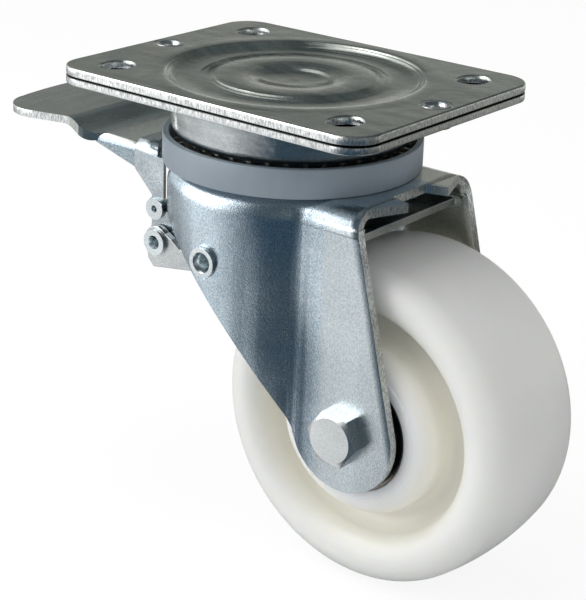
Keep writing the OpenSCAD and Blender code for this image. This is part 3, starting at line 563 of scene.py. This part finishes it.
def shown_or_lit(tree, shown, lit, output):
    """Shows one closure to the camera, mirrors and glass, and lights the object with the other."""
    path = tree.nodes.new("ShaderNodeLightPath")
    seen = math_node(tree, "MAXIMUM", path.outputs["Is Camera Ray"], path.outputs["Is Glossy Ray"])
    seen = math_node(tree, "MAXIMUM", seen, path.outputs["Is Transmission Ray"])
    mix = tree.nodes.new("ShaderNodeMixShader")
    tree.links.new(seen, mix.inputs[0])
    tree.links.new(lit, mix.inputs[1])
    tree.links.new(shown, mix.inputs[2])
    tree.links.new(mix.outputs[0], output)


world = bpy.data.worlds.new("studio")
scene.world = world
world.use_nodes = True
tree = world.node_tree
tree.nodes.clear()
white = tree.nodes.new("ShaderNodeBackground")
white.inputs["Color"].default_value = (1, 1, 1, 1)
room = tree.nodes.new("ShaderNodeBackground")
room.inputs["Color"].default_value = (1, 1, 1, 1)
room.inputs["Strength"].default_value = 0.38
world_out = tree.nodes.new("ShaderNodeOutputWorld")
shown_or_lit(tree, white.outputs[0], room.outputs[0], world_out.inputs["Surface"])

floor_z = cad_box[0][2]
bpy.ops.mesh.primitive_plane_add(size=6, location=(0, 0, floor_z))
floor = bpy.context.object
floor.name = "floor"
pale, tree, paint = new_material("pale_floor")
paint.inputs["Base Color"].default_value = (0.82, 0.82, 0.82, 1)
paint.inputs["Roughness"].default_value = 0.8
glow = tree.nodes.new("ShaderNodeEmission")
glow.inputs["Color"].default_value = (1, 1, 1, 1)
glow.inputs["Strength"].default_value = 1.08
glow_share = 0.80
backdrop = tree.nodes.new("ShaderNodeMixShader")
backdrop.inputs[0].default_value = glow_share
tree.links.new(paint.outputs[0], backdrop.inputs[1])
tree.links.new(glow.outputs[0], backdrop.inputs[2])
shown_or_lit(tree, backdrop.outputs[0], paint.outputs[0], tree.nodes["Material Output"].inputs["Surface"])
floor.data.materials.append(pale)


def flag(name, corners, colour=(0, 0, 0)):
    """Card that only reflections see, flat or graded later; returns its tree, its tone and its output."""
    mesh = bpy.data.meshes.new(name)
    mesh.from_pydata(corners, [], [range(len(corners))])
    card = bpy.data.objects.new(name, mesh)
    scene.collection.objects.link(card)
    paper = bpy.data.materials.new(name)
    paper.use_nodes = True
    tree = paper.node_tree
    tree.nodes.clear()
    tone = tree.nodes.new("ShaderNodeEmission")
    tone.inputs["Color"].default_value = (*colour, 1)
    end = tree.nodes.new("ShaderNodeOutputMaterial")
    tree.links.new(tone.outputs[0], end.inputs["Surface"])
    mesh.materials.append(paper)
    card.visible_camera = card.visible_diffuse = card.visible_shadow = card.visible_transmission = False
    return tree, tone, end


def grade(card, axis, start, end, stops):
    """Grades a flag's tone along one axis of the room."""
    tree, tone, _ = card
    along = remap(tree, surface_axes(tree)[axis], start, end)
    tree.links.new(ramp(tree, along, stops), tone.inputs["Color"])


def clear_towards(card, place, heading, open_to, shut_from):
    """Fades a flag away towards one heading round a place, so that the pale floor shows there; the rest of it
    stays as a painted shadow.
    """
    tree, tone, end = card
    off = vector_node(tree, "SUBTRACT", surface_place(tree), place)
    unit = vector_node(tree, "NORMALIZE", off)
    ahead = (math.cos(heading), math.sin(heading), 0)
    angle = math_node(tree, "ARCCOSINE", vector_node(tree, "DOT_PRODUCT", unit, ahead, "Value"))
    gone = tree.nodes.new("ShaderNodeBsdfTransparent")
    mix = tree.nodes.new("ShaderNodeMixShader")
    tree.links.new(remap(tree, angle, open_to, shut_from), mix.inputs[0])
    tree.links.new(gone.outputs[0], mix.inputs[1])
    tree.links.new(tone.outputs[0], mix.inputs[2])
    tree.links.new(mix.outputs[0], end.inputs["Surface"])


wall, low, high = 1.6, floor_z + 0.001, 1.3


def level(points, z):
    """Corners of a level card."""
    return [(x, y, z) for x, y in points]


def upright(start, end):
    """Corners of an upright card between two points of the floor."""
    return [(*start, low), (*end, low), (*end, high), (*start, high)]


# Painted shadow: a dark card on the floor, seen only in reflections, stands in for the floor lying in the
# castor's shadow; it clears towards the key light and is bluish at the front.
floor_shadow_flag = flag("floor_shadow_flag", level([(-wall, -wall), (wall, -wall), (wall, wall), (-wall, wall)], low))
clear_towards(floor_shadow_flag, place=(0.05, -0.035, low), heading=math.radians(-142),
              open_to=math.radians(8), shut_from=math.radians(65))
grade(floor_shadow_flag, "Y", start=-0.25, end=1.0,
      stops=[(0, (0.045, 0.082, 0.118)), (0.4, (0.13, 0.13, 0.115)), (1, (0.5, 0.5, 0.48))])
flag("front_flag", upright((0.06, -wall), (wall, -wall)), (0.09, 0.115, 0.135))
flag("right_flag", upright((wall, -wall), (wall, wall)), (0.20, 0.22, 0.225))
back_flag = flag("back_flag", upright((wall, wall), (-wall, wall)))
grade(back_flag, "Z", start=0.0, end=1.2,
      stops=[(0, (0.95, 0.95, 0.92)), (0.22, (0.42, 0.43, 0.41)), (0.42, (0.25, 0.26, 0.25)),
             (1, (0.07, 0.08, 0.08))])
flag("left_flag", upright((-wall, wall), (-wall, 0.75)), (0.25, 0.26, 0.25))
ceiling = [(0.2, -wall), (wall, -wall), (wall, wall), (-wall, wall), (-wall, 0.7), (-0.5, 0.5)]
flag("ceiling_flag", level(ceiling, high), (0.10, 0.12, 0.13))

middle = Vector((0.0, 0.0, -0.08))


def softbox(name, at, size, power, mirrored=True, matte=True):
    """Square area light aimed at the middle of the castor."""
    lamp = bpy.data.lights.new(name, "AREA")
    lamp.size = size
    lamp.energy = power
    obj = bpy.data.objects.new(name, lamp)
    obj.location = at
    obj.rotation_euler = (middle - Vector(at)).to_track_quat("-Z", "Y").to_euler()
    obj.visible_camera = False
    obj.visible_glossy = mirrored
    obj.visible_diffuse = matte
    scene.collection.objects.link(obj)


softbox("key_left", (-0.90, -0.85, 0.60), size=1.6, power=15)
softbox("strip", (-0.75, -0.35, 0.95), size=0.5, power=4, matte=False)
softbox("top", (-0.25, 0.0, 1.1), size=0.8, power=4, mirrored=False)
softbox("fill_right", (1.0, -0.5, 0.4), size=0.8, power=2.2, mirrored=False)

photo_height, focal_pixels = 600, 1771.7
view = bpy.data.cameras.new("photo_camera")
view.sensor_fit = "VERTICAL"
view.sensor_height = 36
view.lens = focal_pixels * view.sensor_height / photo_height
camera = bpy.data.objects.new("photo_camera", view)
right, up, back = (0.77969, 0.62531, 0.03279), (-0.25492, 0.26916, 0.92874), (0.57193, -0.73249, 0.36927)
turn = Matrix((right, up, back)).transposed().to_4x4()
camera_place = (0.39139, -0.49792, 0.16188)
camera.matrix_world = Matrix.Translation(camera_place) @ turn
scene.collection.objects.link(camera)
scene.camera = camera
